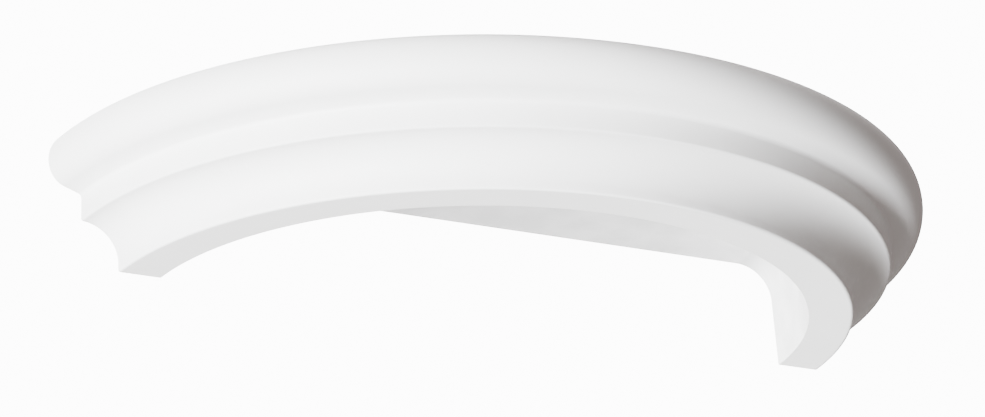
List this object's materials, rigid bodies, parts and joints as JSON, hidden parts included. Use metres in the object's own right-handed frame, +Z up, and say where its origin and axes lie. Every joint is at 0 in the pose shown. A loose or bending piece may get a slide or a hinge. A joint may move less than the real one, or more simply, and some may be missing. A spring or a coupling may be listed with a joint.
{
  "type": "half column ring",
  "caption": "Half-round column ring with a roll, fillet and cove over a flat rim, cut off flat at the back for a wall, with a recess underneath that takes the end of a half-round shaft.",
  "frame": {"origin": "on the plane of the rim's flat underside, midway across the ring and midway between the front of the roll and the flat back", "axes": "+Z up, +Y out of the flat back towards the wall, -Y towards the viewer, +X to the viewer's right"},
  "size_m": [0.27, 0.1306, 0.04],
  "materials": {
    "primed_white": "matte"
  },
  "bodies": {
    "root": {"half_column_ring": "primed_white"}
  },
  "joints": []
}
